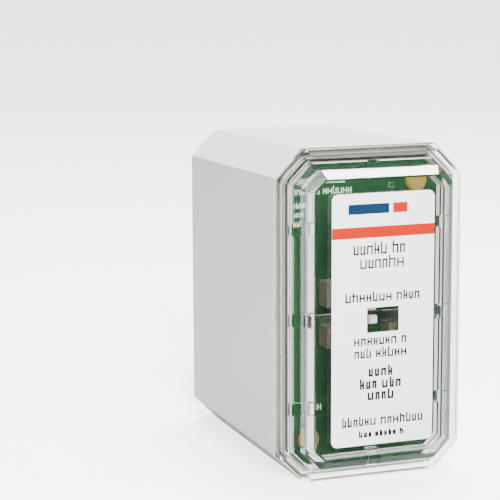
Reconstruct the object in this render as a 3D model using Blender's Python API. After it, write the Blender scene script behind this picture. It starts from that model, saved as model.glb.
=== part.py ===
"""Hard-wired surge protective device with a threaded conduit nipple, as an assembly of separate pieces.

An octagonal moulded housing is closed by a stepped clear cover. Behind the cover sit a circuit board and
three thermally protected varistor modules, each with an arc shield that a spring drives upwards. Four leads
run through the potted nipple in the back and are wound into a coil behind the unit.

Frame: X to the right seen from the front, Y to the back, Z up. The origin is on the flat underside of the
housing, at mid-width and mid-depth. Units are metres.
"""

import math

import bmesh
import bpy
from mathutils import Matrix, Vector

MM = 0.001
GAP = 0.3 * MM                      # clearance between pieces that touch

# Housing
WIDTH = 48.0 * MM
HEIGHT = 82.0 * MM
DEPTH = 70.0 * MM
CORNER = 6.9 * MM                   # leg of the chamfered corners
BACK_CHAMFER = 5.9 * MM
DRAFT = math.tan(math.radians(1.0))
WALL = 2.5 * MM
LIP_INSET = 1.6 * MM                # wall left beside the cover's tongue
LIP_DEPTH = 3.2 * MM
FRONT = -DEPTH / 2
BACK = DEPTH / 2
MID_Z = HEIGHT / 2
FOOT_RADIUS = 4.25 * MM
FOOT_Z = MID_Z + 20.9 * MM

# Clear cover, as distances forward of the housing's front edge
COVER_JOINT = 0.2 * MM
STEP_SIDE = 3.5 * MM
STEP_FRONT = 5.15 * MM
WINDOW_SIDE = 8.0 * MM
WINDOW_FRONT = 9.9 * MM
STEP_INSET = STEP_FRONT - STEP_SIDE
WINDOW_INSET = 4.65 * MM
SKIN = 1.75 * MM                    # thickness of the clear walls that face forward
WINDOW_WALL = 2.5 * MM              # thickness of the walls around the raised window
TONGUE_DEPTH = 2.8 * MM
TONGUE_OUTER = LIP_INSET + GAP
TONGUE_INNER = 3.1 * MM
TAB = 3.0 * MM
TAB_Z = 22.0 * MM

# Circuit board
BOARD_FRONT = FRONT + 3.3 * MM
BOARD_THICK = 1.6 * MM
BOARD_INSET = 3.2 * MM
SCREW_X = 14.3 * MM
SCREW_Z = 31.5 * MM                 # above and below mid-height
SCREW_CORNERS = (1, -1)             # one upper right, one lower left
SCREW_HOLE = 1.8 * MM
BLOCK_DEPTH = 8.0 * MM

# Label
LABEL_WIDTH = 26.8 * MM
LABEL_HEIGHT = 61.5 * MM
LABEL_THICK = 0.15 * MM
LABEL_GAP = 0.1 * MM
LABEL_RADIUS = 1.6 * MM
LABEL_OPENING = (8.4 * MM, 6.1 * MM)
LED_X = 2.2 * MM

# Nipple, a 1/2-14 straight pipe thread
NIPPLE_Z = MID_Z - 9.55 * MM
FLANGE_RADIUS = 14.4 * MM
FLANGE_THICK = 2.9 * MM
THREAD_RADIUS = 10.4 * MM
THREAD_PITCH = 25.4 / 14 * MM
THREAD_DEPTH = 1.15 * MM
NECK_RADIUS = 9.2 * MM
SEAT_RECESS = 10.7 * MM
SPIGOT_RADIUS = 9.5 * MM
BORE_RADIUS = 7.9 * MM
NIPPLE_END = BACK + 22.6 * MM
NIPPLE_INNER = BACK - 11.0 * MM
SEAL_THICK = 1.2 * MM
NUT_THICK = 5.0 * MM
NUT_RADIUS = 13.5 * MM

# Leads, 10 AWG stranded
LEAD_RADIUS = 2.1 * MM
LEAD_PITCH = 4.3 * MM               # spacing of neighbouring leads
POTTING = (BACK - 2.0 * MM, BACK + 15.0 * MM)
STRAIGHT_OUT = 11.0 * MM
BEND_RADIUS = 24.0 * MM
DRIFT_ANGLE = math.radians(75)      # the leads turn to the right on their way down
STACKED_BY = 0.55                   # share of the way down after which the leads run one above another
COIL_LIFT = 0.6 * MM                # the tie passes under the coil
COIL_LEVEL = COIL_LIFT + LEAD_RADIUS + 1.5 * LEAD_PITCH
COIL_ENTRY_RADIUS = 29.7 * MM
COIL_INNER_RADIUS = 18.4 * MM
TIE_WIDTH = 4.8 * MM
TIE_ANGLE = math.radians(45)
TIE_THICK = 0.45 * MM

# Varistor modules
MODULE_COUNT = 3
MODULE_PITCH = 12.6 * MM
TRAY_THICK = 10.2 * MM
MODULE_WALL = 1.2 * MM
LID_THICK = 1.1 * MM
MODULE_Y = (-20.0 * MM, 14.0 * MM)
MODULE_Z = (37.5 * MM, 74.6 * MM)
DISC_RADIUS = 12.0 * MM
DISC_Y = -2.0 * MM
DISC_Z = 60.5 * MM
STRAP_HALF = 2.5 * MM
STRAP_THICK = 0.8 * MM
SHIELD_BOTTOM = 45.0 * MM
SHIELD_TOP = 58.0 * MM
SPRING_RADIUS = 2.2 * MM
SPRING_WIRE = 0.35 * MM
SPRING_TURNS = 5


def clear_scene():
    for item in list(bpy.data.objects):
        bpy.data.objects.remove(item, do_unlink=True)


def material(name, colour, roughness, metallic=0.0, alpha=1.0):
    """A Principled material of one colour."""
    made = bpy.data.materials.new(name)
    made.use_nodes = True
    shader = made.node_tree.nodes["Principled BSDF"]
    shader.inputs["Base Color"].default_value = (*colour, 1.0)
    shader.inputs["Roughness"].default_value = roughness
    shader.inputs["Metallic"].default_value = metallic
    shader.inputs["Alpha"].default_value = alpha
    return made


def add_object(name, mesh, finish, smooth_angle=None):
    """Links a mesh to the scene as one named piece."""
    item = bpy.data.objects.new(name, mesh)
    bpy.context.scene.collection.objects.link(item)
    mesh.materials.append(finish)
    if smooth_angle is not None:
        mesh.shade_smooth()
        mesh.set_sharp_from_angle(angle=math.radians(smooth_angle))
    return item


def finish_mesh(name, shape):
    """Turns a closed bmesh into a mesh whose faces point out."""
    bmesh.ops.recalc_face_normals(shape, faces=shape.faces)
    mesh = bpy.data.meshes.new(name)
    shape.to_mesh(mesh)
    shape.free()
    return mesh


def add_cutter(name, shape):
    """A hidden helper solid for a Boolean."""
    helper = bpy.data.objects.new(name, finish_mesh(name, shape))
    bpy.context.scene.collection.objects.link(helper)
    helper.hide_render = True
    helper.display_type = "WIRE"
    return helper


def combine(target, helper, operation):
    step = target.modifiers.new(operation.lower(), "BOOLEAN")
    step.operation = operation
    step.object = helper


def add_box(shape, low, high):
    """Adds a box between two corners to a bmesh."""
    centre = (Vector(low) + Vector(high)) / 2
    size = Vector(high) - Vector(low)
    place = Matrix.Translation(centre) @ Matrix.Diagonal((*size, 1.0))
    bmesh.ops.create_cube(shape, size=1.0, matrix=place)


def add_cylinder(shape, start, axis, length, radius, sides=24):
    """Adds a cylinder that runs from start along axis ('X' or 'Y')."""
    turn = Matrix.Rotation(math.pi / 2, 4, "Y" if axis == "X" else "X")
    middle = Vector(start)
    middle["XYZ".index(axis)] += length / 2
    place = Matrix.Translation(middle) @ turn
    bmesh.ops.create_cone(
        shape, cap_ends=True, segments=sides, radius1=radius, radius2=radius, depth=length, matrix=place
    )


def box_piece(name, low, high, finish):
    shape = bmesh.new()
    add_box(shape, low, high)
    return add_object(name, finish_mesh(name, shape), finish)


def octagon(inset, y, corner=CORNER, sides_in=0.0, top_in=0.0):
    """The housing's outline moved in by inset, in the plane y. sides_in and top_in hold the draft."""
    leg = max(corner - inset * (2 - math.sqrt(2)), 0.4 * MM)
    half = WIDTH / 2 - inset - sides_in
    low = inset
    high = HEIGHT - inset - top_in
    quarter = [(half, low + leg), (half, high - leg), (half - leg, high), (-half + leg, high)]
    rest = [(-half, high - leg), (-half, low + leg), (-half + leg, low), (half - leg, low)]
    return [Vector((x, y, z)) for x, z in quarter + rest]


def drafted(inset, y):
    """The outline moved in by inset, with the mould draft at this depth: none on the underside."""
    back_step = max(0.0, y - FRONT) * DRAFT
    return octagon(inset, y, sides_in=back_step, top_in=back_step)


def loft(rings, closed=False):
    """A closed skin through rings of equal point counts: capped at both ends, or joined end to start."""
    shape = bmesh.new()
    loops = [[shape.verts.new(point) for point in ring] for ring in rings]
    pairs = list(zip(loops, loops[1:]))
    if closed:
        pairs.append((loops[-1], loops[0]))
    else:
        shape.faces.new(loops[0])
        shape.faces.new(loops[-1])
    for first, second in pairs:
        count = len(first)
        for i in range(count):
            j = (i + 1) % count
            shape.faces.new((first[i], first[j], second[j], second[i]))
    return shape


def prism(outline, x_low, x_high):
    """A plate cut to an outline of (y, z) points, between two X planes."""
    rings = [[Vector((x, y, z)) for y, z in outline] for x in (x_low, x_high)]
    return loft(rings)


def smooth_path(points, spacing):
    """Points along a Catmull-Rom curve through the given points, at about the given spacing."""
    ends = [points[0] * 2 - points[1], *points, points[-1] * 2 - points[-2]]
    dense = []
    for a, b, c, d in zip(ends, ends[1:], ends[2:], ends[3:]):
        steps = 12
        for k in range(steps):
            t = k / steps
            spread = (b * 2, (c - a) * t, (a * 2 - b * 5 + c * 4 - d) * t**2, (b * 3 - a - c * 3 + d) * t**3)
            dense.append(sum(spread, Vector((0, 0, 0))) / 2)
    dense.append(points[-1])
    length = sum((q - p).length for p, q in zip(dense, dense[1:]))
    count = max(2, round(length / spacing))
    wanted = [length * k / count for k in range(count + 1)]
    path = []
    walked = 0.0
    for p, q in zip(dense, dense[1:]):
        stretch = (q - p).length
        while len(path) < count and walked + stretch >= wanted[len(path)] - 1e-12:
            path.append(p.lerp(q, (wanted[len(path)] - walked) / stretch))
        walked += stretch
    path.append(dense[-1])
    return path


def tube(name, path, radius, finish, resolution=2):
    """A round cord along a path, with closed ends."""
    line = bpy.data.curves.new(name, "CURVE")
    line.dimensions = "3D"
    line.bevel_depth = radius
    line.bevel_resolution = resolution
    line.use_fill_caps = True
    spline = line.splines.new("POLY")
    spline.points.add(len(path) - 1)
    for point, place in zip(spline.points, path):
        point.co = (*place, 1.0)
    item = bpy.data.objects.new(name, line)
    bpy.context.scene.collection.objects.link(item)
    line.materials.append(finish)
    return item


def turned(profile, sides, centre, axis):
    """A ring turned about an axis ('Y' or 'Z') through centre from a closed profile of (radius, height)."""
    rings = []
    for i in range(sides):
        angle = 2 * math.pi * i / sides
        ring = []
        for radius, height in profile:
            a, b = radius * math.cos(angle), radius * math.sin(angle)
            ring.append(centre + (Vector((a, height, b)) if axis == "Y" else Vector((a, b, height))))
        rings.append(ring)
    return loft(rings, closed=True)


def build_housing(grey):
    """The opaque shell: drafted walls, back foot, two corner blocks for the board screws, nipple hole."""
    rear = BACK - BACK_CHAMFER
    shell = add_object(
        "housing",
        finish_mesh("housing", loft([drafted(0, FRONT), drafted(0, rear), drafted(BACK_CHAMFER, BACK)])),
        grey,
    )
    past_front = FRONT - 1.0 * MM
    lip_end = FRONT + LIP_DEPTH
    inner_rear = BACK - WALL
    hollow = loft(
        [
            octagon(LIP_INSET, past_front),
            octagon(LIP_INSET, lip_end),
            drafted(WALL, lip_end),
            drafted(WALL, rear),
            drafted(BACK_CHAMFER + 1.0 * MM, inner_rear),
        ]
    )
    combine(shell, add_cutter("housing_hollow", hollow), "DIFFERENCE")

    added = bmesh.new()
    block_front = BOARD_FRONT + BOARD_THICK + GAP
    for side in SCREW_CORNERS:
        inner = Vector((side * (SCREW_X - 3.3 * MM), block_front, MID_Z + side * (SCREW_Z - 3.3 * MM)))
        outer_x = side * (WIDTH / 2 - WALL / 2)
        outer = Vector((outer_x, block_front + BLOCK_DEPTH, MID_Z + side * (SCREW_Z + 3.3 * MM)))
        low = [min(p, q) for p, q in zip(inner, outer)]
        high = [max(p, q) for p, q in zip(inner, outer)]
        add_box(added, low, high)
    add_cylinder(added, (0, BACK - 1.0 * MM, FOOT_Z), "Y", FLANGE_THICK + GAP + 1.0 * MM, FOOT_RADIUS, 32)
    combine(shell, add_cutter("housing_added", added), "UNION")

    holes = bmesh.new()
    for side in SCREW_CORNERS:
        start = (side * SCREW_X, block_front - 1.0 * MM, MID_Z + side * SCREW_Z)
        add_cylinder(holes, start, "Y", BLOCK_DEPTH, SCREW_HOLE, 12)
    add_cylinder(holes, (0, BACK - 5.0 * MM, NIPPLE_Z), "Y", 8.0 * MM, SPIGOT_RADIUS + GAP, 32)
    combine(shell, add_cutter("housing_holes", holes), "DIFFERENCE")


def build_cover(clear):
    """The stepped clear cover: flange, chamfered step, raised window, tongue and inner ribs."""
    inner_step = STEP_FRONT - SKIN
    inner_window = WINDOW_FRONT - SKIN
    sections = [
        (WINDOW_INSET + WINDOW_FRONT - WINDOW_SIDE, -WINDOW_FRONT),
        (WINDOW_INSET, -WINDOW_SIDE),
        (WINDOW_INSET, -STEP_FRONT),
        (STEP_INSET, -STEP_FRONT),
        (0, -STEP_SIDE),
        (0, -COVER_JOINT),
        (TONGUE_OUTER, -COVER_JOINT),
        (TONGUE_OUTER, TONGUE_DEPTH),
        (TONGUE_INNER, TONGUE_DEPTH),
        (TONGUE_INNER, -inner_step + GAP),
        (TONGUE_INNER + GAP, -inner_step),
        (WINDOW_INSET + WINDOW_WALL, -inner_step),
        (WINDOW_INSET + WINDOW_WALL, -inner_window),
    ]
    shape = loft([octagon(inset, FRONT + offset) for inset, offset in sections])
    cover = add_object("cover", finish_mesh("cover", shape), clear)

    ribs = bmesh.new()
    step_back = FRONT - inner_step
    window_back = FRONT - inner_window
    root = 0.4 * MM                 # how far a rib runs into the wall that carries it
    outer_x = WIDTH / 2 - TONGUE_INNER + root
    inner_x = WIDTH / 2 - WINDOW_INSET - WINDOW_WALL - root
    for side in (-1, 1):
        for z in (MID_Z - TAB_Z, MID_Z, MID_Z + TAB_Z):
            ends = sorted((side * inner_x, side * outer_x))
            low = (ends[0], step_back - root, z - TAB / 2)
            high = (ends[1], step_back + 1.4 * MM, z + TAB / 2)
            add_box(ribs, low, high)
        inner_z = MID_Z - WINDOW_INSET - WINDOW_WALL - root
        ends = sorted((side * inner_z, side * (MID_Z - TONGUE_INNER + root)))
        low = (-TAB / 2, step_back - root, MID_Z + ends[0])
        high = (TAB / 2, step_back + 1.4 * MM, MID_Z + ends[1])
        add_box(ribs, low, high)
    bar_x = WIDTH / 2 - WINDOW_INSET - WINDOW_WALL + root
    low = (-bar_x, window_back + 1.2 * MM, MID_Z - TAB / 2)
    high = (bar_x, window_back + 3.2 * MM, MID_Z + TAB / 2)
    add_box(ribs, low, high)
    combine(cover, add_cutter("cover_ribs", ribs), "UNION")


def build_gasket(rubber):
    """The seal ring on the shoulder behind the cover's tongue."""
    near = FRONT + TONGUE_DEPTH
    outer, inner = TONGUE_OUTER + GAP, TONGUE_INNER - GAP
    front_face, back_face = near + 0.1 * MM, near + 0.35 * MM
    section = ((outer, front_face), (outer, back_face), (inner, back_face), (inner, front_face))
    rings = [octagon(inset, y) for inset, y in section]
    add_object("cover_gasket", finish_mesh("cover_gasket", loft(rings, closed=True)), rubber)


def build_label(white):
    """A thin plate with rounded corners and a cut-out over the status lights."""
    half_x, half_z = LABEL_WIDTH / 2, LABEL_HEIGHT / 2
    corner_steps = 6
    outline = []
    for sx, sz, start in ((1, 1, 0), (-1, 1, 90), (-1, -1, 180), (1, -1, 270)):
        for k in range(corner_steps + 1):
            angle = math.radians(start + 90 * k / corner_steps)
            x = sx * (half_x - LABEL_RADIUS) + LABEL_RADIUS * math.cos(angle)
            z = sz * (half_z - LABEL_RADIUS) + LABEL_RADIUS * math.sin(angle)
            outline.append((x, z))
    back = FRONT - WINDOW_FRONT - LABEL_GAP
    rings = [[Vector((x, y, MID_Z + z)) for x, z in outline] for y in (back, back - LABEL_THICK)]
    label = add_object("label", finish_mesh("label", loft(rings)), white)
    opening = bmesh.new()
    wide, high = LABEL_OPENING
    low = (-wide / 2, back - 1.0 * MM, MID_Z - high / 2)
    top = (wide / 2, back + 1.0 * MM, MID_Z + high / 2)
    add_box(opening, low, top)
    combine(label, add_cutter("label_opening", opening), "DIFFERENCE")


def build_board(green, brass):
    """The octagonal circuit board and the two screws that hold it to the corner blocks."""
    rear = BOARD_FRONT + BOARD_THICK
    shape = loft([octagon(BOARD_INSET, BOARD_FRONT), octagon(BOARD_INSET, rear)])
    board = add_object("circuit_board", finish_mesh("circuit_board", shape), green)
    holes = bmesh.new()
    places = [(side * SCREW_X, MID_Z + side * SCREW_Z) for side in SCREW_CORNERS]
    for x, z in places:
        add_cylinder(holes, (x, BOARD_FRONT - 1.0 * MM, z), "Y", BOARD_THICK + 2.0 * MM, SCREW_HOLE, 12)
    combine(board, add_cutter("board_holes", holes), "DIFFERENCE")
    head_back = BOARD_FRONT - 0.1 * MM
    head_front = head_back - 1.3 * MM
    for number, (x, z) in enumerate(places, 1):
        profile = [
            (0.01 * MM, head_front),
            (2.3 * MM, head_front),
            (2.8 * MM, head_front + 0.5 * MM),
            (2.8 * MM, head_back),
            (1.45 * MM, head_back),
            (1.45 * MM, rear + 6.0 * MM),
            (0.01 * MM, rear + 6.0 * MM),
        ]
        name = f"board_screw_{number}"
        rings = [disc_ring(radius, y, x, z, 16) for radius, y in profile]
        add_object(name, finish_mesh(name, loft(rings)), brass, 40)


def disc_ring(radius, y, x, z, sides):
    """A circle of points about an axis along Y."""
    turns = [2 * math.pi * i / sides for i in range(sides)]
    return [Vector((x + radius * math.cos(a), y, z + radius * math.sin(a))) for a in turns]


def build_board_parts(led_white, film, ceramic):
    """Status lights, film capacitors and dropping resistors on the front of the board."""
    back = BOARD_FRONT - 0.1 * MM
    corners = ((1, -1), (1, 1), (-1, 1), (-1, -1))
    for name, z in (("status_led_upper", MID_Z + 1.1 * MM), ("status_led_lower", MID_Z - 2.3 * MM)):
        rings = []
        for half, rise in ((1.1, 0.0), (1.1, 1.4), (0.8, 1.9)):
            at = back - rise * MM
            rings.append([Vector((LED_X + sx * half * MM, at, z + sz * half * MM)) for sx, sz in corners])
        add_object(name, finish_mesh(name, loft(rings)), led_white)
    for column, x in (("left", -11.3), ("right", 5.2)):
        for row, bottom, top in (("upper", 2.1, 8.3), ("lower", -7.9, -2.5)):
            low = (x * MM, back - 5.0 * MM, MID_Z + bottom * MM)
            high = (x * MM + 6.6 * MM, back, MID_Z + top * MM)
            box_piece(f"film_capacitor_{row}_{column}", low, high, film)
    for number, x in enumerate((-3.2, 3.2), 1):
        low = (x * MM - 0.8 * MM, back - 0.6 * MM, MID_Z - 14.0 * MM)
        high = (x * MM + 0.8 * MM, back, MID_Z - 10.8 * MM)
        box_piece(f"led_resistor_{number}", low, high, ceramic)


def build_module(number, finishes):
    """One thermally protected varistor: tray, lid, disc, two straps, link, arc shield and its spring."""
    left = (number - 2) * MODULE_PITCH - (TRAY_THICK + GAP + LID_THICK) / 2
    y_low, y_high = MODULE_Y
    z_low, z_high = MODULE_Z

    tray_shape = bmesh.new()
    add_box(tray_shape, (left, y_low, z_low), (left + TRAY_THICK, y_high, z_high))
    tray = add_object(f"module_case_{number}", finish_mesh("module_case", tray_shape), finishes["case"])
    space = bmesh.new()
    inner_low = (left + MODULE_WALL, y_low + MODULE_WALL, z_low + MODULE_WALL)
    inner_high = (left + TRAY_THICK + 1.0 * MM, y_high - MODULE_WALL, z_high - MODULE_WALL)
    add_box(space, inner_low, inner_high)
    combine(tray, add_cutter(f"module_space_{number}", space), "DIFFERENCE")
    rails = bmesh.new()
    for y in (DISC_Y - 8.0 * MM, DISC_Y + 8.0 * MM):
        low = (left + MODULE_WALL - 0.5 * MM, y - 0.6 * MM, z_low + MODULE_WALL - 0.5 * MM)
        high = (left + TRAY_THICK - 0.6 * MM, y + 0.6 * MM, DISC_Z - DISC_RADIUS - 0.6 * MM)
        add_box(rails, low, high)
    combine(tray, add_cutter(f"module_rails_{number}", rails), "UNION")
    mouth = bmesh.new()
    low = (left + MODULE_WALL + 0.1 * MM, y_low - 1.0 * MM, DISC_Z - STRAP_HALF - 0.7 * MM)
    high = (left + TRAY_THICK - 0.9 * MM, y_low + MODULE_WALL + 1.0 * MM, DISC_Z + STRAP_HALF + 0.7 * MM)
    add_box(mouth, low, high)
    combine(tray, add_cutter(f"module_mouth_{number}", mouth), "DIFFERENCE")

    lid_at = left + TRAY_THICK + GAP
    lid_high = (lid_at + LID_THICK, y_high, z_high)
    box_piece(f"module_lid_{number}", (lid_at, y_low, z_low), lid_high, finishes["lid"])

    strap_end = BOARD_FRONT + BOARD_THICK + GAP
    rear_at = left + MODULE_WALL + GAP
    plate = 8.0 * MM
    outline = [
        (strap_end, DISC_Z - STRAP_HALF),
        (DISC_Y - plate, DISC_Z - STRAP_HALF),
        (DISC_Y - plate, DISC_Z - plate),
        (DISC_Y + plate, DISC_Z - plate),
        (DISC_Y + plate, DISC_Z + plate),
        (DISC_Y - plate, DISC_Z + plate),
        (DISC_Y - plate, DISC_Z + STRAP_HALF),
        (strap_end, DISC_Z + STRAP_HALF),
    ]
    mesh = finish_mesh("rear_strap", prism(outline, rear_at, rear_at + STRAP_THICK))
    add_object(f"rear_strap_{number}", mesh, finishes["tin"])

    disc_at = rear_at + STRAP_THICK + GAP
    disc_thick = 3.2 * MM
    disc_shape = bmesh.new()
    add_cylinder(disc_shape, (disc_at, DISC_Y, DISC_Z), "X", disc_thick, DISC_RADIUS, 32)
    add_object(f"varistor_disc_{number}", finish_mesh("varistor_disc", disc_shape), finishes["disc"], 40)

    link_at = disc_at + disc_thick + GAP
    link_thick = 1.5 * MM
    link_shape = bmesh.new()
    add_cylinder(link_shape, (link_at, DISC_Y, DISC_Z), "X", link_thick, 2.0 * MM, 16)
    add_object(f"thermal_link_{number}", finish_mesh("thermal_link", link_shape), finishes["solder"], 40)

    front_at = link_at + link_thick + GAP
    low = (front_at, strap_end, DISC_Z - STRAP_HALF)
    high = (front_at + STRAP_THICK, DISC_Y + 3.0 * MM, DISC_Z + STRAP_HALF)
    box_piece(f"front_strap_{number}", low, high, finishes["tin"])

    shield_at = link_at + 0.2 * MM
    shield_thick = 1.1 * MM
    half, notch = 7.0 * MM, 2.6 * MM
    notch_bottom = SHIELD_BOTTOM + 4.0 * MM
    outline = [
        (DISC_Y - half, SHIELD_BOTTOM),
        (DISC_Y + half, SHIELD_BOTTOM),
        (DISC_Y + half, SHIELD_TOP),
        (DISC_Y + notch, SHIELD_TOP),
        (DISC_Y + notch, notch_bottom),
        (DISC_Y - notch, notch_bottom),
        (DISC_Y - notch, SHIELD_TOP),
        (DISC_Y - half, SHIELD_TOP),
    ]
    pivot = Vector((shield_at, DISC_Y, SHIELD_BOTTOM))
    mesh = finish_mesh("arc_shield", prism(outline, shield_at, shield_at + shield_thick))
    mesh.transform(Matrix.Translation(-pivot))
    shield = add_object(f"arc_shield_{number}", mesh, finishes["shield"])
    shield.location = pivot

    spring_x = shield_at + shield_thick / 2
    spring_low = z_low + MODULE_WALL + GAP + SPRING_WIRE
    spring_high = SHIELD_BOTTOM - GAP - SPRING_WIRE
    steps = 10 * SPRING_TURNS
    path = []
    for k in range(steps + 1):
        angle = 2 * math.pi * SPRING_TURNS * k / steps
        height = spring_low + (spring_high - spring_low) * k / steps
        x = spring_x + SPRING_RADIUS * math.cos(angle)
        y = DISC_Y + SPRING_RADIUS * math.sin(angle)
        path.append(Vector((x, y, height)))
    tube(f"shield_spring_{number}", path, SPRING_WIRE, finishes["steel"], 1)


def thread_radius(y, angle, start, end):
    """Radius of the screw thread at a place, fading to its root at both ends of the threaded stretch."""
    phase = ((y - start) / THREAD_PITCH - angle / (2 * math.pi)) % 1.0
    flank = min(1.0, max(0.0, 1.6 * abs(2 * phase - 1) - 0.3))
    fade = min(1.0, max(0.0, (y - start) / (0.4 * THREAD_PITCH)), max(0.0, (end - y) / (0.6 * THREAD_PITCH)))
    return THREAD_RADIUS - THREAD_DEPTH * (1 - flank * fade)


def build_nipple(cream, rubber):
    """The threaded conduit nipple with its flange, the seal and nut inside the wall, and the potting."""
    sides = 24
    flange_front = BACK + GAP
    flange_back = flange_front + FLANGE_THICK
    seat = flange_back - GAP
    thread_start = flange_back + 0.8 * MM
    thread_end = NIPPLE_END - 1.0 * MM
    plain = [
        (BORE_RADIUS, NIPPLE_INNER),
        (SPIGOT_RADIUS, NIPPLE_INNER),
        (SPIGOT_RADIUS, flange_front),
        (FLANGE_RADIUS, flange_front),
        (FLANGE_RADIUS, flange_back),
        (SEAT_RECESS, flange_back),
        (SEAT_RECESS, seat),
        (NECK_RADIUS, seat),
        (NECK_RADIUS, thread_start),
    ]
    rings = [disc_ring(radius, y, 0, NIPPLE_Z, sides) for radius, y in plain]
    rows = round((thread_end - thread_start) / THREAD_PITCH * 6)
    for k in range(1, rows):
        y = thread_start + (thread_end - thread_start) * k / rows
        ring = []
        for i in range(sides):
            angle = 2 * math.pi * i / sides
            radius = thread_radius(y, angle, thread_start, thread_end)
            ring.append(Vector((radius * math.cos(angle), y, NIPPLE_Z + radius * math.sin(angle))))
        rings.append(ring)
    neck = ((NECK_RADIUS, thread_end), (NECK_RADIUS - 0.4 * MM, NIPPLE_END), (BORE_RADIUS, NIPPLE_END))
    for radius, y in neck:
        rings.append(disc_ring(radius, y, 0, NIPPLE_Z, sides))
    nipple = add_object("nipple", finish_mesh("nipple", loft(rings, closed=True)), cream, 40)
    notch = bmesh.new()
    half = 1.2 * MM
    notch_low = NIPPLE_Z + FLANGE_RADIUS - half
    add_box(notch, (-half, flange_front - half, notch_low), (half, flange_back + half, notch_low + 3 * half))
    combine(nipple, add_cutter("nipple_notch", notch), "DIFFERENCE")

    centre = Vector((0, 0, NIPPLE_Z))
    inner_face = BACK - WALL - GAP
    seal_front = inner_face - SEAL_THICK
    seal_inner, seal_outer = SPIGOT_RADIUS + GAP, 12.5 * MM
    profile = [
        (seal_inner, seal_front),
        (seal_outer, seal_front),
        (seal_outer, inner_face),
        (seal_inner, inner_face),
    ]
    add_object("nipple_seal", finish_mesh("nipple_seal", turned(profile, 24, centre, "Y")), rubber, 40)

    nut_back = seal_front - GAP
    inside = [disc_ring(seal_inner, y, 0, NIPPLE_Z, 24) for y in (nut_back, nut_back - NUT_THICK)]
    outside = []
    for y in (nut_back - NUT_THICK, nut_back):
        ring = []
        for i in range(24):
            angle = 2 * math.pi * i / 24
            to_flat = (angle + math.pi / 6) % (math.pi / 3) - math.pi / 6
            radius = NUT_RADIUS * math.cos(math.pi / 6) / math.cos(to_flat)
            ring.append(Vector((radius * math.cos(angle), y, NIPPLE_Z + radius * math.sin(angle))))
        outside.append(ring)
    add_object("nipple_nut", finish_mesh("nipple_nut", loft(inside + outside, closed=True)), cream, 40)

    rings = [disc_ring(BORE_RADIUS - GAP, y, 0, NIPPLE_Z, 24) for y in POTTING]
    add_object("lead_potting", finish_mesh("lead_potting", loft(rings)), rubber, 40)


def bundle_offset(number):
    """Where a lead lies in the bundle of four, to the right and up: a square standing on its corner."""
    angle = math.radians(90 * number)
    reach = LEAD_PITCH / math.sqrt(2)
    return -reach * math.sin(angle), reach * math.cos(angle)


def lead_line():
    """The middle of the bundle from the nipple to the coil: straight out, then two equal bends down."""
    half_drop = (NIPPLE_Z - COIL_LEVEL) / 2
    steepest = math.acos(1 - half_drop / BEND_RADIUS)
    bends = 2 * BEND_RADIUS * steepest
    place = Vector((0, NIPPLE_END + STRAIGHT_OUT, NIPPLE_Z))
    out = Vector((0, 1, 0))
    line = [(Vector((0, y, NIPPLE_Z)), 0.0, out) for y in (POTTING[1] + GAP, NIPPLE_END, place.y)]
    steps = 60
    for k in range(steps):
        done = (k + 0.5) / steps
        slope = steepest * (1 - abs(2 * done - 1))
        drift = DRIFT_ANGLE * done
        flat = math.cos(slope)
        heading = Vector((math.sin(drift) * flat, math.cos(drift) * flat, -math.sin(slope)))
        place += heading * bends / steps
        line.append((place.copy(), (k + 1) / steps, heading))
    return line


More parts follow.
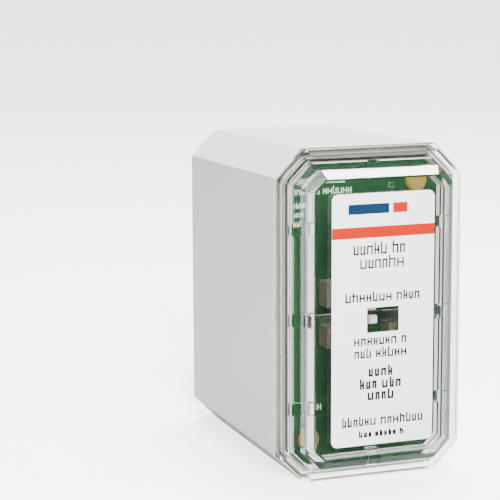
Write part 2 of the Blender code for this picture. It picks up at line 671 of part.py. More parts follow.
def build_leads(finishes):
    """Inner leads from the board to the potting, outer leads out of the nipple, the coil and its tie."""
    line = lead_line()
    entry = line[-1][0]
    inward = Vector((math.cos(DRIFT_ANGLE), -math.sin(DRIFT_ANGLE), 0))
    centre = entry + inward * COIL_ENTRY_RADIUS
    ring_outer = COIL_ENTRY_RADIUS + LEAD_RADIUS + GAP
    ring_inner = COIL_INNER_RADIUS - LEAD_RADIUS - GAP
    ring_top = COIL_LIFT + 4 * LEAD_PITCH
    names = ("black_1", "white", "black_2", "green")
    levels = (1.5, 0.5, -1.5, -0.5)
    board_places = (-3.5 * MM, -10.5 * MM, 3.5 * MM, 10.5 * MM)
    board_back = BOARD_FRONT + BOARD_THICK + GAP
    for number, name in enumerate(names):
        side, up = bundle_offset(number)
        path = []
        for place, done, heading in line:
            share = min(1.0, done / STACKED_BY)
            swing = math.pi / 2 * share * share * (3 - 2 * share)
            stacked = math.sin(swing)
            right = Vector((math.cos(DRIFT_ANGLE * done), -math.sin(DRIFT_ANGLE * done), 0))
            rise = up * (1 - stacked) + levels[number] * LEAD_PITCH * stacked
            spot = place + right * side * math.cos(swing) + right.cross(heading) * rise
            if spot.z < ring_top + LEAD_RADIUS + GAP:
                break
            path.append(spot)
        route = path[:3] + path[8:-4:5] + path[-1:]
        tube(f"lead_{name}", smooth_path(route, 3.4 * LEAD_RADIUS), LEAD_RADIUS, finishes[name])
        board_x = board_places[number]
        inner = [
            Vector((side, POTTING[0] - GAP, NIPPLE_Z + up)),
            Vector((side, POTTING[0] - 12.0 * MM, NIPPLE_Z + up)),
            Vector((side * 0.5 + board_x * 0.5, 4.0 * MM, NIPPLE_Z + up * 0.6 - 4.0 * MM)),
            Vector((board_x, -14.0 * MM, 20.0 * MM)),
            Vector((board_x, board_back, 18.0 * MM)),
        ]
        tube(f"inner_lead_{name}", smooth_path(inner, 3.4 * LEAD_RADIUS), LEAD_RADIUS, finishes[name])

    middle = Vector((centre.x, centre.y, 0))
    soft = 1.5 * MM
    profile = [
        (ring_inner + soft, COIL_LIFT),
        (ring_outer - soft, COIL_LIFT),
        (ring_outer, COIL_LIFT + soft),
        (ring_outer, ring_top - soft),
        (ring_outer - soft, ring_top),
        (ring_inner + soft, ring_top),
        (ring_inner, ring_top - soft),
        (ring_inner, COIL_LIFT + soft),
    ]
    add_object("lead_coil", finish_mesh("lead_coil", turned(profile, 40, middle, "Z")), finishes["coil"], 50)

    loops = []
    for reach in (GAP / 2 + TIE_THICK, GAP / 2):
        low, high = ring_inner - GAP / 2 - reach, ring_outer + reach
        base, top = COIL_LIFT - reach, ring_top + reach
        cut = 0.8 * MM
        corners = [(low + cut, base), (high - cut, base), (high, base + cut), (high, top - cut)]
        corners += [(high - cut, top), (low + cut, top), (low, top - cut), (low, base + cut)]
        loops.append(corners)
    half = TIE_WIDTH / 2
    turn = Matrix.Rotation(TIE_ANGLE, 3, "Z")
    rings = []
    for corners, offset in ((loops[0], -half), (loops[0], half), (loops[1], half), (loops[1], -half)):
        rings.append([middle + turn @ Vector((x, offset, z)) for x, z in corners])
    add_object("coil_tie", finish_mesh("coil_tie", loft(rings, closed=True)), finishes["tie"])


def main():
    clear_scene()
    grey = material("housing_grey", (0.62, 0.62, 0.60), 0.45)
    clear = material("cover_clear", (0.85, 0.88, 0.86), 0.05, alpha=0.35)
    rubber = material("seal_rubber", (0.08, 0.08, 0.08), 0.6)
    white = material("label_white", (0.85, 0.85, 0.84), 0.4)
    green = material("board_green", (0.02, 0.16, 0.07), 0.35)
    brass = material("screw_brass", (0.75, 0.55, 0.22), 0.3, 1.0)
    led_white = material("led_white", (0.85, 0.85, 0.8), 0.3)
    film = material("capacitor_film", (0.24, 0.22, 0.17), 0.4)
    ceramic = material("resistor_ceramic", (0.03, 0.03, 0.03), 0.4)
    cream = material("nipple_grey", (0.74, 0.75, 0.71), 0.4)
    build_housing(grey)
    build_cover(clear)
    build_gasket(rubber)
    build_label(white)
    build_board(green, brass)
    build_board_parts(led_white, film, ceramic)
    build_nipple(cream, rubber)
    module_finishes = {
        "case": material("module_black", (0.03, 0.03, 0.035), 0.5),
        "lid": material("module_lid_grey", (0.12, 0.12, 0.13), 0.5),
        "tin": material("strap_tin", (0.7, 0.7, 0.68), 0.3, 1.0),
        "disc": material("varistor_blue", (0.05, 0.12, 0.35), 0.35),
        "solder": material("link_solder", (0.6, 0.6, 0.6), 0.35, 1.0),
        "shield": material("shield_red", (0.5, 0.04, 0.03), 0.4),
        "steel": material("spring_steel", (0.5, 0.5, 0.52), 0.3, 1.0),
    }
    for number in range(1, MODULE_COUNT + 1):
        build_module(number, module_finishes)
    lead_finishes = {
        "white": material("lead_white", (0.85, 0.85, 0.83), 0.3),
        "black_1": material("lead_black", (0.015, 0.015, 0.015), 0.3),
        "black_2": material("lead_black_second", (0.015, 0.015, 0.015), 0.3),
        "green": material("lead_green", (0.02, 0.25, 0.06), 0.3),
        "coil": material("lead_coil_black", (0.015, 0.015, 0.015), 0.3),
        "tie": material("tie_black", (0.02, 0.02, 0.02), 0.45),
    }
    build_leads(lead_finishes)


main()
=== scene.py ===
"""Looks for the hard-wired surge protective device.

Clear stepped cover, printed label, circuit board, moulded grey housing, threaded nipple and the four coiled
leads, standing on a pale floor under soft studio light.

Frame: X to the right seen from the front, Y to the back, Z up, metres, origin under the housing.
"""

import itertools
import math
import random

import bmesh
import bpy
from mathutils import Matrix, Vector


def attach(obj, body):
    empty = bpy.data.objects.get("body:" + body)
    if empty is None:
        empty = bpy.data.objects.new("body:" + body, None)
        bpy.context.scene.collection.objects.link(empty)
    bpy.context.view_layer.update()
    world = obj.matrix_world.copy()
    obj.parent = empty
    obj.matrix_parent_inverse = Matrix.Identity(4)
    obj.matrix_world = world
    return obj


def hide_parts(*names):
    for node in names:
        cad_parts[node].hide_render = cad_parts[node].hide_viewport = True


MM = 0.001

# Sizes that the pieces made here share with the CAD model
HEIGHT = 82.0 * MM
FRONT = -35.0 * MM
BACK = 35.0 * MM
MID_Z = HEIGHT / 2
BOARD_FRONT = FRONT + 3.3 * MM
LABEL_FRONT = FRONT - 10.15 * MM
WINDOW_FACE = FRONT - 9.9 * MM
GATE_X = 2.1 * MM
GATE_Z = 32.5 * MM                  # above mid-height
GATE_RADIUS = 0.9 * MM
GATE_HEIGHT = 0.22 * MM
GATE_LIFT = 0.005 * MM
INK = 0.02 * MM                     # how far print stands proud of what it is on
NIPPLE_Z = MID_Z - 9.55 * MM
NIPPLE_END = BACK + 22.6 * MM
SCREW_X = 14.3 * MM
SCREW_Z = 31.5 * MM
CROSS_LIFT = 1.42 * MM              # front of the screws' crosses before the board

# Print on the front, in millimetres from its middle. A block is left, right, bottom and top.
LABEL_BAND = (-13.4, 13.4, 20.05, 22.7)
EMBLEM = (-9.2, 1.4, 25.8, 28.2)
EMBLEM_END = (2.4, 6.2, 25.8, 28.2)

# A row of dummy print is left, right, middle height and the height of its letters
LABEL_ROWS = (
    (-7.8, 7.6, 17.1, 2.2),
    (-6.1, 6.4, 13.7, 2.2),
    (-9.9, 10.2, 5.5, 1.8),
    (-7.6, 7.8, -5.2, 1.8),
    (-7.5, 7.6, -8.3, 1.8),
    (-10.6, 11.4, -25.0, 1.8),
    (-6.2, 6.7, -28.2, 1.2),
)
BOLD_ROWS = (
    (-3.7, 4.1, -12.9, 1.9),
    (-6.0, 7.1, -15.9, 1.9),
    (-3.9, 4.7, -18.7, 1.9),
)
BOARD_ROWS = (
    (-17.0, -3.5, 32.6, 1.4),
    (-18.3, -2.0, 30.0, 1.4),
    (-18.3, -12.6, 26.6, 1.1),
    (-18.3, -12.6, 24.4, 1.1),
    (-18.3, -12.6, 22.2, 1.1),
    (-13.0, -10.6, -23.6, 1.5),
)
LABEL_STROKE = 0.4
BOLD_STROKE = 0.5
BOARD_STROKE = 0.26

# Traces of the board and cross recesses of its screws, in millimetres
TRACE_WIDTH = 0.7
TRACE_REACH = 15.9                  # the level traces end this far to either side
TRACE_COLUMNS = ((17.4, -24, 25), (18.9, -30, 28), (15.9, -20, 6))
TRACE_LEVELS = (9.8, -10.2, -22.0, -26.5)
CROSS_REACH = 1.2
CROSS_HALF = 0.22

# Leads: 10 AWG stranded, cut 18 inches long, the ends stripped
LEAD_LENGTH = 0.457
LEAD_RADIUS = 2.1 * MM
LEAD_PITCH = 4.3 * MM
LEAD_START = BACK + 15.3 * MM
STRAIGHT_OUT = 11.0 * MM
BEND_RADIUS = 24.0 * MM
DRIFT_ANGLE = math.radians(75)
STACKED_BY = 0.55                   # share of the bends after which the leads lie one above another
COIL_LIFT = 0.6 * MM
COIL_LEVEL = COIL_LIFT + LEAD_RADIUS + 1.5 * LEAD_PITCH
COIL_ENTRY_RADIUS = 29.7 * MM
COIL_STEP = math.radians(7.5)       # turn from one point of a coiled lead to the next
STRIP_LENGTH = 10.0 * MM
COPPER_RADIUS = 1.45 * MM
TIE_WIDTH = 4.8 * MM
TIE_THICK = 0.45 * MM
TIE_GAP = 0.05 * MM                 # between the jackets and the strap
TIE_SOFTENED = 0.15 * MM            # bevel on the edges of the head and the tail
TIE_ANGLE = math.radians(45)
TIE_REACH = math.radians(8)         # turns this far to either side lie under the tie

# Camera
CAMERA_PLACE = Vector((-0.1774, -0.4254, 0.1270))
CAMERA_TURN = (math.radians(-20.652), math.radians(9.363), math.radians(-0.245))
CAMERA_LENS = 127.905

# Lights. A lamp is its name, place, size and power.
WORLD_STRENGTH = 0.75
BACKDROP_STRENGTH = 3.2             # what the camera sees beyond the floor
FLOOR_GLOW = 2.5                    # only the camera sees it, so it lights nothing
LAMPS = (
    ("key", (-0.17, -0.85, 0.42), 0.4, 28.0),
    ("top", (0.10, 0.15, 0.80), 0.3, 20.0),
)
GLINT_PLACE = (0.34, -0.167, 0.80)  # a strip that only the upper edge of the window mirrors
GLINT_SIZE = (0.15, 0.064)
GLINT_POWER = 3.6
LAMP_AIM = Vector((0, -0.02, 0.04))

# Floor. Rays other than the camera's see it grey, with painted shade: a near-black patch before the unit and
# to its right that darkens its reflections.
FLOOR_SIZE = 12.0
FLOOR_DROP = 0.02 * MM
FLOOR_BOUNCE = 0.45
# The near-black patch is painted shade, seen only in reflections and bounced light.
REFLECTED_SHADE_TONE = 0.03
REFLECTED_SHADE_LEFT = -0.01
REFLECTED_SHADE_BACK = -0.05


def linear(red, green, blue):
    """Scene-linear colour from display values of 0 to 255."""
    values = []
    for value in (red, green, blue):
        share = value / 255
        values.append(share / 12.92 if share <= 0.04045 else ((share + 0.055) / 1.055) ** 2.4)
    return tuple(values)


def new_material(name):
    made = bpy.data.materials.new(name)
    made.use_nodes = True
    return made, made.node_tree.nodes, made.node_tree.links, made.node_tree.nodes["Principled BSDF"]


def noise(nodes, links, scale, detail=4.0):
    """A noise texture in the piece's own coordinates."""
    place = nodes.new("ShaderNodeTexCoord")
    texture = nodes.new("ShaderNodeTexNoise")
    texture.inputs["Scale"].default_value = scale
    texture.inputs["Detail"].default_value = detail
    links.new(place.outputs["Object"], texture.inputs["Vector"])
    return texture.outputs["Fac"]


def ranged(nodes, links, source, low, high):
    """Spreads the middle of a noise texture's values over low to high."""
    span = nodes.new("ShaderNodeMapRange")
    span.inputs["From Min"].default_value = 0.3
    span.inputs["From Max"].default_value = 0.7
    span.inputs["To Min"].default_value = low
    span.inputs["To Max"].default_value = high
    links.new(source, span.inputs["Value"])
    return span.outputs["Result"]


def drift_in_tone(nodes, links, tone, dark, light, shader):
    """Lets the base colour of a shader wander between two colours."""
    mix = nodes.new("ShaderNodeMix")
    mix.data_type = "RGBA"
    mix.inputs["A"].default_value = (*dark, 1)
    mix.inputs["B"].default_value = (*light, 1)
    links.new(ranged(nodes, links, tone, 0.0, 1.0), mix.inputs["Factor"])
    links.new(mix.outputs["Result"], shader.inputs["Base Color"])


def split_by_ray(nodes, links, kind, for_kind, for_others, output):
    """Shows one shader to rays of a kind and another one to all other rays."""
    rays = nodes.new("ShaderNodeLightPath")
    blend = nodes.new("ShaderNodeMixShader")
    links.new(rays.outputs[kind], blend.inputs["Fac"])
    links.new(for_others, blend.inputs[1])
    links.new(for_kind, blend.inputs[2])
    links.new(blend.outputs["Shader"], nodes[output].inputs["Surface"])


def surface(
    name, colour, roughness, metallic=0.0, spread=0.04, scale=400,
    grain=5000, relief=0.03, coat=0.0, shine=0.5,
):
    """A solid finish: slight drift in tone and sheen, and a fine grain."""
    made, nodes, links, shader = new_material(name)
    tone = noise(nodes, links, scale)
    dark = [c * (1 - spread) for c in colour]
    light = [min(1.0, c * (1 + spread)) for c in colour]
    drift_in_tone(nodes, links, tone, dark, light, shader)
    links.new(ranged(nodes, links, tone, roughness * 0.9, roughness * 1.1), shader.inputs["Roughness"])
    shader.inputs["Metallic"].default_value = metallic
    shader.inputs["Specular IOR Level"].default_value = shine
    shader.inputs["Coat Weight"].default_value = coat
    if relief:
        bump = nodes.new("ShaderNodeBump")
        bump.inputs["Strength"].default_value = relief
        bump.inputs["Distance"].default_value = 0.0001
        links.new(noise(nodes, links, grain, 2.0), bump.inputs["Height"])
        links.new(bump.outputs["Normal"], shader.inputs["Normal"])
    return made


def clear_plastic(name, tint, roughness):
    """Polished clear moulding that lets light through to what it covers."""
    made, nodes, links, shader = new_material(name)
    tone = noise(nodes, links, 300)
    drift_in_tone(nodes, links, tone, tint, [min(1.0, c * 1.02) for c in tint], shader)
    links.new(ranged(nodes, links, tone, roughness * 0.8, roughness * 1.2), shader.inputs["Roughness"])
    shader.inputs["Transmission Weight"].default_value = 1.0
    shader.inputs["IOR"].default_value = 1.5
    through = nodes.new("ShaderNodeBsdfTransparent")
    through.inputs["Color"].default_value = (0.93, 0.95, 0.93, 1)
    solid, shadow = shader.outputs["BSDF"], through.outputs["BSDF"]
    split_by_ray(nodes, links, "Is Shadow Ray", shadow, solid, "Material Output")
    return made


def dress(item, finish):
    item.data.materials.clear()
    item.data.materials.append(finish)


def add_mesh(name, shape, finish, smooth=None):
    """A new piece from a bmesh, riding on the unit."""
    bmesh.ops.recalc_face_normals(shape, faces=shape.faces)
    mesh = bpy.data.meshes.new(name)
    shape.to_mesh(mesh)
    shape.free()
    item = bpy.data.objects.new(name, mesh)
    bpy.context.scene.collection.objects.link(item)
    mesh.materials.append(finish)
    if smooth is not None:
        mesh.shade_smooth()
        mesh.set_sharp_from_angle(angle=math.radians(smooth))
    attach(item, "unit")
    return item


def add_box(shape, low, high):
    centre = (Vector(low) + Vector(high)) / 2
    extent = Vector(high) - Vector(low)
    place = Matrix.Translation(centre) @ Matrix.Diagonal((*extent, 1.0))
    bmesh.ops.create_cube(shape, size=1.0, matrix=place)


def join_rings(shape, ring, other):
    """A band of faces between two rings of equally many points."""
    for k in range(len(ring)):
        following = (k + 1) % len(ring)
        shape.faces.new((ring[k], ring[following], other[following], other[k]))


def round_edges(item, width):
    """Softens the sharp edges of a CAD piece without touching its own points."""
    bevel = item.modifiers.new("soft_edges", "BEVEL")
    bevel.width = width
    bevel.segments = 2
    bevel.limit_method = "ANGLE"
    bevel.angle_limit = math.radians(30)
    bevel.use_clamp_overlap = False
    bevel.harden_normals = True


def plate(shape, x0, x1, z0, z1, front, back):
    """A thin raised patch facing the viewer, given from the middle of the front in millimetres."""
    add_box(shape, (x0 * MM, front, MID_Z + z0 * MM), (x1 * MM, back, MID_Z + z1 * MM))


def build_camera():
    turn, rise, roll = CAMERA_TURN
    look = Vector((-math.sin(turn) * math.cos(rise), math.cos(turn) * math.cos(rise), -math.sin(rise)))
    right = Vector((math.cos(turn), math.sin(turn), 0))
    up = right.cross(look)
    level_right = right * math.cos(roll) + up * math.sin(roll)
    level_up = up * math.cos(roll) - right * math.sin(roll)
    data = bpy.data.cameras.new("camera")
    data.lens = CAMERA_LENS
    data.sensor_width = 36.0
    data.clip_start = 0.01
    camera = bpy.data.objects.new("camera", data)
    bpy.context.scene.collection.objects.link(camera)
    facing = Matrix((level_right, level_up, -look)).transposed().to_4x4()
    camera.matrix_world = Matrix.Translation(CAMERA_PLACE) @ facing
    bpy.context.scene.camera = camera


def lead_line():
    """The middle of the bundle from the nipple to the coil: spot, share of the bends done, heading."""
    half_drop = (NIPPLE_Z - COIL_LEVEL) / 2
    steepest = math.acos(1 - half_drop / BEND_RADIUS)
    bends = 2 * BEND_RADIUS * steepest
    out = Vector((0, 1, 0))
    place = Vector((0, NIPPLE_END + STRAIGHT_OUT, NIPPLE_Z))
    line = []
    straight_steps = 5
    for k in range(straight_steps + 1):
        line.append((Vector((0, LEAD_START, NIPPLE_Z)).lerp(place, k / straight_steps), 0.0, out))
    steps = 24
    fine = 10
    for k in range(steps * fine):
        done = (k + 0.5) / (steps * fine)
        slope = steepest * (1 - abs(2 * done - 1))
        drift = DRIFT_ANGLE * done
        flat = math.cos(slope)
        heading = Vector((math.sin(drift) * flat, math.cos(drift) * flat, -math.sin(slope)))
        place += heading * bends / (steps * fine)
        if (k + 1) % fine == 0:
            line.append((place.copy(), (k + 1) / (steps * fine), heading))
    return line


def coil_centre():
    """The middle of the coil, at the height of its middle."""
    entry = lead_line()[-1][0]
    inward = Vector((math.cos(DRIFT_ANGLE), -math.sin(DRIFT_ANGLE), 0))
    return entry + inward * COIL_ENTRY_RADIUS


def walk(path, next_spot, length):
    """Adds spots to a path until it has grown by exactly length."""
    while length > 0:
        spot = next_spot()
        step = spot - path[-1]
        if step.length > length:
            spot = path[-1] + step.normalized() * length
        length -= step.length
        path.append(spot)


def lead_path(number, level):
    """One lead's middle line, its bare end's, and where it leaves the nipple."""
    angle = math.radians(90 * number)
    reach = LEAD_PITCH / math.sqrt(2)
    side, up = -reach * math.sin(angle), reach * math.cos(angle)
    path = []
    for place, done, heading in lead_line():
        share = min(1.0, done / STACKED_BY)
        swing = math.pi / 2 * share * share * (3 - 2 * share)
        stacked = math.sin(swing)
        right = Vector((math.cos(DRIFT_ANGLE * done), -math.sin(DRIFT_ANGLE * done), 0))
        rise = up * (1 - stacked) + level * LEAD_PITCH * stacked
        path.append(place + right * side * math.cos(swing) + right.cross(heading) * rise)
    exit_point = Vector((side, NIPPLE_END, NIPPLE_Z + up))
    just_outside = NIPPLE_END + 0.1 * MM
    outside = [p for p in path if p.y > just_outside]
    walked = sum((q - p).length for p, q in zip([exit_point] + outside, outside))

    centre = coil_centre()
    centre.z = path[-1].z
    start = math.pi - DRIFT_ANGLE
    turned = itertools.count(1)

    def next_spot():
        angle = COIL_STEP * next(turned)
        radius = COIL_ENTRY_RADIUS - LEAD_PITCH * angle / (2 * math.pi)
        return centre + Vector((math.cos(start - angle), math.sin(start - angle), 0)) * radius

    walk(path, next_spot, LEAD_LENGTH - walked)
    bare = [path[-1]]
    walk(bare, next_spot, STRIP_LENGTH)
    return path, bare, exit_point


def tube(name, path, radius, finish, resolution=4):
    line = bpy.data.curves.new(name, "CURVE")
    line.dimensions = "3D"
    line.bevel_depth = radius
    line.bevel_resolution = resolution
    line.use_fill_caps = True
    spline = line.splines.new("POLY")
    spline.points.add(len(path) - 1)
    for point, place in zip(spline.points, path):
        point.co = (*place, 1.0)
    item = bpy.data.objects.new(name, line)
    bpy.context.scene.collection.objects.link(item)
    line.materials.append(finish)
    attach(item, "unit")
    return item


def strap_outline(low, high, base, top, corner):
    """A rounded rectangle of (distance from the coil's middle, height) points."""
    corner_steps = 6
    outline = []
    corners = (
        (high, top, -1, -1, 0),
        (low, top, 1, -1, 90),
        (low, base, 1, 1, 180),
        (high, base, -1, 1, 270),
    )
    for r, z, inward, upward, start in corners:
        for k in range(corner_steps + 1):
            angle = math.radians(start + 90 * k / corner_steps)
            across = r + inward * corner + corner * math.cos(angle)
            outline.append((across, z + upward * corner + corner * math.sin(angle)))
    return outline


def near_tie(paths, centre, toward):
    """How far from the coil's middle the leads run where the tie goes around them."""
    distances = []
    for path in paths:
        for spot in path:
            arm = Vector((spot.x - centre.x, spot.y - centre.y, 0))
            in_coil = arm.length < COIL_ENTRY_RADIUS + LEAD_RADIUS
            if in_coil and arm.dot(toward) > arm.length * math.cos(TIE_REACH):
                distances.append(arm.length)
    return distances


def add_strap(shape, centre, toward, low, high):
    """The closed strap around turns that lie between two distances from the coil's middle."""
    along = Vector((-math.sin(TIE_ANGLE), math.cos(TIE_ANGLE), 0))
    base, top = COIL_LIFT, COIL_LEVEL + 1.5 * LEAD_PITCH + LEAD_RADIUS
    loops = []
    for reach in (TIE_GAP, TIE_GAP + TIE_THICK):
        outline = strap_outline(low - reach, high + reach, base - reach, top + reach, LEAD_RADIUS + reach)
        for side in (-1, 1):
            loop = []
            for r, z in outline:
                place = centre + toward * r + along * side * TIE_WIDTH / 2
                loop.append(shape.verts.new((place.x, place.y, z)))
            loops.append(loop)
    inner_left, inner_right, outer_left, outer_right = loops
    around = (inner_left, inner_right, outer_right, outer_left, inner_left)
    for ring, other in zip(around, around[1:]):
        join_rings(shape, ring, other)


def add_tie_block(shape, centre, toward, near, far, wide, bottom, upper):
    """A softened block outside the coil: from near to far, wide to either side, from bottom to upper."""
    extent = Vector((far - near, 2 * wide, upper - bottom))
    middle = Vector((centre.x, centre.y, (bottom + upper) / 2)) + toward * (near + far) / 2
    turn = Matrix.Rotation(TIE_ANGLE, 4, "Z")
    place = Matrix.Translation(middle) @ turn @ Matrix.Diagonal((*extent, 1.0))
    made = bmesh.ops.create_cube(shape, size=1.0, matrix=place)
    edges = list({edge for corner in made["verts"] for edge in corner.link_edges})
    bmesh.ops.bevel(shape, geom=edges, offset=TIE_SOFTENED, segments=2, affect="EDGES")


def build_tie(paths):
    """The cable tie drawn tight around the turns, with its head and a cut tail on the outside."""
    centre = coil_centre()
    toward = Vector((math.cos(TIE_ANGLE), math.sin(TIE_ANGLE), 0))
    distances = near_tie(paths, centre, toward)
    low, high = min(distances) - LEAD_RADIUS, max(distances) + LEAD_RADIUS
    shape = bmesh.new()
    add_strap(shape, centre, toward, low, high)

    half = TIE_WIDTH / 2
    face = high + TIE_GAP + TIE_THICK
    head = (face - 0.1 * MM, face + 2.6 * MM, half + 0.7 * MM, COIL_LEVEL - 2.6 * MM, COIL_LEVEL + 2.6 * MM)
    tail = (face + 1.0 * MM, face + 1.6 * MM, half, COIL_LEVEL + 2.5 * MM, COIL_LEVEL + 6.0 * MM)
    for block in (head, tail):
        add_tie_block(shape, centre, toward, *block)
    tie = add_mesh("cable_tie", shape, surface("tie_nylon", linear(22, 22, 24), 0.45), smooth=40)
    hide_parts("coil_tie")
    return tie


def build_leads(nodes):
    """The four free leads, each as long as the real one, with bare strands at the end."""
    copper = surface("copper_strands", linear(184, 115, 80), 0.35, 1.0, scale=3000)
    glossy = {"scale": 120, "spread": 0.06, "relief": 0.01, "grain": 1500, "coat": 0.1}
    colours = {
        "black_1": surface("jacket_black", linear(22, 22, 23), 0.38, **glossy),
        "black_2": surface("jacket_black_second", linear(20, 20, 22), 0.4, **glossy),
        "white": surface("jacket_white", linear(232, 231, 226), 0.38, **glossy),
        "green": surface("jacket_green", linear(20, 104, 44), 0.38, **glossy),
    }
    levels = {"black_1": 1.5, "white": 0.5, "black_2": -1.5, "green": -0.5}
    routes = [(name, *lead_path(number, level)) for number, (name, level) in enumerate(levels.items())]
    tie = build_tie([path for _, path, _, _ in routes])
    for name, path, bare, exit_point in routes:
        lead = tube(f"jacket_{name}", path, LEAD_RADIUS, colours[name])
        strands = tube(f"strands_{name}", bare, COPPER_RADIUS, copper, 2)
        replaced = [f"lead_{name}"] + (["lead_coil"] if name == "black_1" else [])
        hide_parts(*replaced)
        dress(nodes[f"inner_lead_{name}"], colours[name])


def dummy_print(name, finish, rows, stroke, face):
    """Rows of dummy strokes in word-like groups: left, right, middle height and height of a row, in mm."""
    front, back = face - INK, face + INK
    shape = bmesh.new()
    draw = random.Random(7)
    for left, right, middle, tall in rows:
        low, high = middle - tall / 2, middle + tall / 2
        at = left
        while at < right - stroke:
            letters = draw.randint(3, 7)
            for _ in range(letters):
                wide = tall * draw.choice((0.6, 0.7, 0.8))
                if at + wide > right:
                    break
                rise = high + (tall * 0.35 if draw.random() < 0.3 else 0)
                plate(shape, at, at + stroke, low, rise, front, back)
                plate(shape, at + wide - stroke, at + wide, low, high, front, back)
                bar = draw.choice((low, middle - stroke / 2, high - stroke))
                plate(shape, at + stroke, at + wide - stroke, bar, bar + stroke, front, back)
                at += wide + stroke
            at += tall * 0.5
    add_mesh(name, shape, finish)


def build_label(nodes):
    """Paper-white label film with a red band and lines of dummy print."""
    dress(nodes["label"], surface("label_film", linear(250, 250, 249), 0.5, spread=0.01, relief=0.01))
    ink = surface("print_black", linear(16, 16, 18), 0.6, spread=0.08, shine=0.1)
    blue = surface("print_blue", linear(14, 44, 72), 0.6, spread=0.05, shine=0.1)
    red = surface("print_red", (0.45, 0.012, 0.0), 0.6, spread=0.03, shine=0.1)
    blocks = (
        ("label_band", LABEL_BAND, red),
        ("label_emblem", EMBLEM, blue),
        ("label_emblem_end", EMBLEM_END, red),
    )
    for name, block, finish in blocks:
        shape = bmesh.new()
        plate(shape, *block, LABEL_FRONT - INK, LABEL_FRONT + INK)
        add_mesh(name, shape, finish)
    dummy_print("label_lines", ink, LABEL_ROWS, LABEL_STROKE, LABEL_FRONT)
    dummy_print("label_bold_lines", ink, BOLD_ROWS, BOLD_STROKE, LABEL_FRONT)


def cross_recesses():
    """Dark crosses on the heads of both screws."""
    shape = bmesh.new()
    front = BOARD_FRONT - CROSS_LIFT
    back = front + 0.1 * MM
    for side in (1, -1):
        x, z = side * SCREW_X / MM, side * SCREW_Z / MM
        plate(shape, x - CROSS_REACH, x + CROSS_REACH, z - CROSS_HALF, z + CROSS_HALF, front, back)
        upright_front = front - 0.01 * MM
        plate(shape, x - CROSS_HALF, x + CROSS_HALF, z - CROSS_REACH, z + CROSS_REACH, upright_front, back)
    return shape


def board_traces():
    """Upright traces along both sides of the board and level ones between them."""
    shape = bmesh.new()
    front, back = BOARD_FRONT - INK / 2, BOARD_FRONT + INK / 2
    for side in (-1, 1):
        for x, low, high in TRACE_COLUMNS:
            ends = sorted((side * x, side * (x + TRACE_WIDTH)))
            plate(shape, *ends, low, high, front, back)
    for z in TRACE_LEVELS:
        plate(shape, -TRACE_REACH, TRACE_REACH, z, z + TRACE_WIDTH, front, back)
    return shape


def build_board(nodes):
    """Green board with traces and dummy marks, and the parts on it."""
    mask = surface("solder_mask", linear(2, 36, 13), 0.5, spread=0.25, scale=90, shine=0.12)
    dress(nodes["circuit_board"], mask)
    brass = surface("screw_brass", linear(100, 84, 24), 0.5, 0.4, scale=800)
    for k in (1, 2):
        dress(nodes[f"board_screw_{k}"], brass)
    film = surface("capacitor_case", linear(74, 69, 57), 0.5, spread=0.08, shine=0.2)
    for where in ("upper_left", "upper_right", "lower_left", "lower_right"):
        dress(nodes[f"film_capacitor_{where}"], film)
    for k in (1, 2):
        dress(nodes[f"led_resistor_{k}"], surface(f"resistor_{k}", linear(40, 40, 42), 0.4))
    for where in ("upper", "lower"):
        dress(nodes[f"status_led_{where}"], surface(f"led_{where}", linear(226, 224, 214), 0.3, spread=0.03))

    add_mesh("screw_crosses", cross_recesses(), surface("cross_shade", linear(120, 92, 40), 0.5, 0.6))
    green = surface("trace_under_mask", linear(3, 46, 18), 0.5, spread=0.08, shine=0.12)
    add_mesh("board_traces", board_traces(), green)
    ink = surface("board_ink", linear(150, 162, 146), 0.6, shine=0.1)
    dummy_print("board_marks", ink, BOARD_ROWS, BOARD_STROKE, BOARD_FRONT)


def dress_inside(nodes):
    """The finishes of the three varistor modules' pieces."""
    looks = {
        "module_case": ("module_case", linear(36, 36, 38), 0.45, 0.0),
        "module_lid": ("module_lid", linear(58, 58, 62), 0.45, 0.0),
        "rear_strap": ("strap_tin", linear(196, 196, 192), 0.35, 1.0),
        "front_strap": ("strap_tin_front", linear(196, 196, 192), 0.35, 1.0),
        "varistor_disc": ("varistor_coat", linear(40, 84, 150), 0.35, 0.0),
        "thermal_link": ("solder", linear(176, 178, 182), 0.4, 1.0),
        "arc_shield": ("shield_red", linear(186, 40, 34), 0.4, 0.0),
        "shield_spring": ("spring_steel", linear(170, 172, 176), 0.3, 1.0),
    }
    for prefix, (name, colour, roughness, metallic) in looks.items():
        finish = surface(name, colour, roughness, metallic)
        for number in (1, 2, 3):
            dress(nodes[f"{prefix}_{number}"], finish)


def gate_mark():
    """The small round dome that the moulding gate left on the window, above the label."""
    sides = 20
    rings = []
    shape = bmesh.new()
    for share in (0.0, 0.3, 0.6, 0.85):
        radius = GATE_RADIUS * math.sqrt(1 - share * share)
        y = WINDOW_FACE - GATE_LIFT - GATE_HEIGHT * share
        turns = [2 * math.pi * k / sides for k in range(sides)]
        spots = [(GATE_X + radius * math.cos(a), y, MID_Z + GATE_Z + radius * math.sin(a)) for a in turns]
        rings.append([shape.verts.new(spot) for spot in spots])
    for ring, other in zip(rings, rings[1:]):
        join_rings(shape, ring, other)
    shape.faces.new(rings[0])
    shape.faces.new(rings[-1])
    return shape


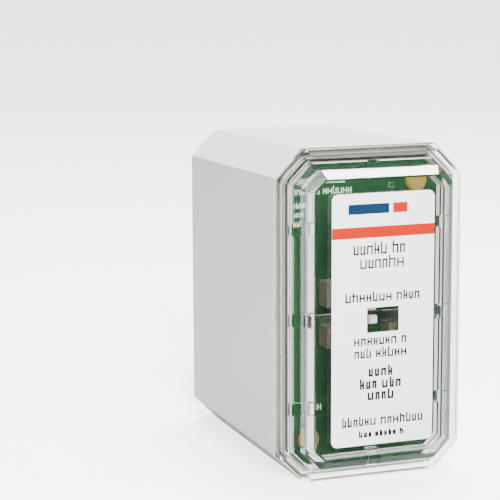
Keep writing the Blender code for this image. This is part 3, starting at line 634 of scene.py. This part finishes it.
def build_shell(nodes):
    """Housing, cover, gasket, nipple and what closes it."""
    grey = surface("moulded_grey", linear(214, 214, 211), 0.42, spread=0.015, grain=2600, relief=0.05)
    dress(nodes["housing"], grey)
    clear = clear_plastic("clear_cover", (0.97, 0.985, 0.975), 0.015)
    dress(nodes["cover"], clear)
    add_mesh("cover_gate_mark", gate_mark(), clear, smooth=60)
    dress(nodes["cover_gasket"], surface("gasket_rubber", linear(90, 88, 80), 0.6))
    cream = surface("moulded_nipple", linear(228, 229, 224), 0.4, spread=0.015, grain=3000)
    dress(nodes["nipple"], cream)
    dress(nodes["nipple_nut"], cream)
    dress(nodes["nipple_seal"], surface("seal_rubber", linear(30, 30, 30), 0.6))
    dress(nodes["lead_potting"], surface("potting", linear(34, 34, 36), 0.4))
    round_edges(nodes["housing"], 0.35 * MM)


def calm_reflections(finish):
    """Gives rays other than the camera's a grey floor, with a near-black patch of painted shade before the
    unit.
    """
    nodes, links = finish.node_tree.nodes, finish.node_tree.links
    place = nodes.new("ShaderNodeTexCoord")
    split = nodes.new("ShaderNodeSeparateXYZ")
    links.new(place.outputs["Object"], split.inputs["Vector"])
    # Painted shade: where the floor turns near-black for reflections and bounced light.
    in_reflected_shade = nodes.new("ShaderNodeMath")
    in_reflected_shade.operation = "MULTIPLY"
    sides = (("X", "GREATER_THAN", REFLECTED_SHADE_LEFT), ("Y", "LESS_THAN", REFLECTED_SHADE_BACK))
    for slot, (axis, operation, limit) in enumerate(sides):
        inside = nodes.new("ShaderNodeMath")
        inside.operation = operation
        inside.inputs[1].default_value = limit
        links.new(split.outputs[axis], inside.inputs[0])
        links.new(inside.outputs["Value"], in_reflected_shade.inputs[slot])
    tone = nodes.new("ShaderNodeMix")
    tone.data_type = "RGBA"
    tone.inputs["A"].default_value = (FLOOR_BOUNCE, FLOOR_BOUNCE, FLOOR_BOUNCE, 1)
    tone.inputs["B"].default_value = (REFLECTED_SHADE_TONE, REFLECTED_SHADE_TONE, REFLECTED_SHADE_TONE, 1)
    links.new(in_reflected_shade.outputs["Value"], tone.inputs["Factor"])
    other = nodes.new("ShaderNodeBsdfDiffuse")
    links.new(tone.outputs["Result"], other.inputs["Color"])
    seen = nodes["Principled BSDF"].outputs["BSDF"]
    split_by_ray(nodes, links, "Is Camera Ray", seen, other.outputs["BSDF"], "Material Output")


def build_floor():
    shape = bmesh.new()
    bmesh.ops.create_grid(shape, x_segments=1, y_segments=1, size=FLOOR_SIZE)
    mesh = bpy.data.meshes.new("floor")
    shape.to_mesh(mesh)
    shape.free()
    floor = bpy.data.objects.new("floor", mesh)
    bpy.context.scene.collection.objects.link(floor)
    floor.location = (0, 0, -FLOOR_DROP)
    paper = surface("floor_white", (0.88, 0.88, 0.88), 0.6, spread=0.01, scale=3, relief=0)
    glow = paper.node_tree.nodes["Principled BSDF"]
    glow.inputs["Emission Color"].default_value = (1, 1, 1, 1)
    glow.inputs["Emission Strength"].default_value = FLOOR_GLOW
    calm_reflections(paper)
    dress(floor, paper)


def build_world():
    """Soft light from everywhere, and a brighter backdrop that only the camera sees."""
    world = bpy.data.worlds.new("studio")
    world.use_nodes = True
    nodes, links = world.node_tree.nodes, world.node_tree.links
    lighting = nodes["Background"]
    backdrop = nodes.new("ShaderNodeBackground")
    for background, strength in ((lighting, WORLD_STRENGTH), (backdrop, BACKDROP_STRENGTH)):
        background.inputs["Color"].default_value = (1, 1, 1, 1)
        background.inputs["Strength"].default_value = strength
    seen, light = backdrop.outputs["Background"], lighting.outputs["Background"]
    split_by_ray(nodes, links, "Is Camera Ray", seen, light, "World Output")
    bpy.context.scene.world = world


def add_lamp(name, place, power):
    data = bpy.data.lights.new(name, "AREA")
    data.energy = power
    lamp = bpy.data.objects.new(name, data)
    bpy.context.scene.collection.objects.link(lamp)
    lamp.location = place
    return lamp


def build_lamps():
    """Two soft square lamps aimed at the unit, and the level strip that gives the glint."""
    for name, place, side, power in LAMPS:
        lamp = add_lamp(name, place, power)
        lamp.data.size = side
        lamp.rotation_euler = (LAMP_AIM - Vector(place)).to_track_quat("-Z", "Y").to_euler()
    glint = add_lamp("glint", GLINT_PLACE, GLINT_POWER)
    glint.data.shape = "RECTANGLE"
    glint.data.size, glint.data.size_y = GLINT_SIZE


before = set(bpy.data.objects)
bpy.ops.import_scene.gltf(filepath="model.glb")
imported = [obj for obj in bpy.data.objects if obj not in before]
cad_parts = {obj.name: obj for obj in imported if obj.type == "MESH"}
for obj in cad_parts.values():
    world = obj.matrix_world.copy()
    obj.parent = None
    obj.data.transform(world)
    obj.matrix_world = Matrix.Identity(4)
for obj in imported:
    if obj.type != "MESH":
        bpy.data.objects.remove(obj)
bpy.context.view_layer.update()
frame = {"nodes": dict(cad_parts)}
parts = frame["nodes"]
build_camera()
build_leads(parts)
build_shell(parts)
build_label(parts)
build_board(parts)
dress_inside(parts)
build_floor()
build_world()
build_lamps()
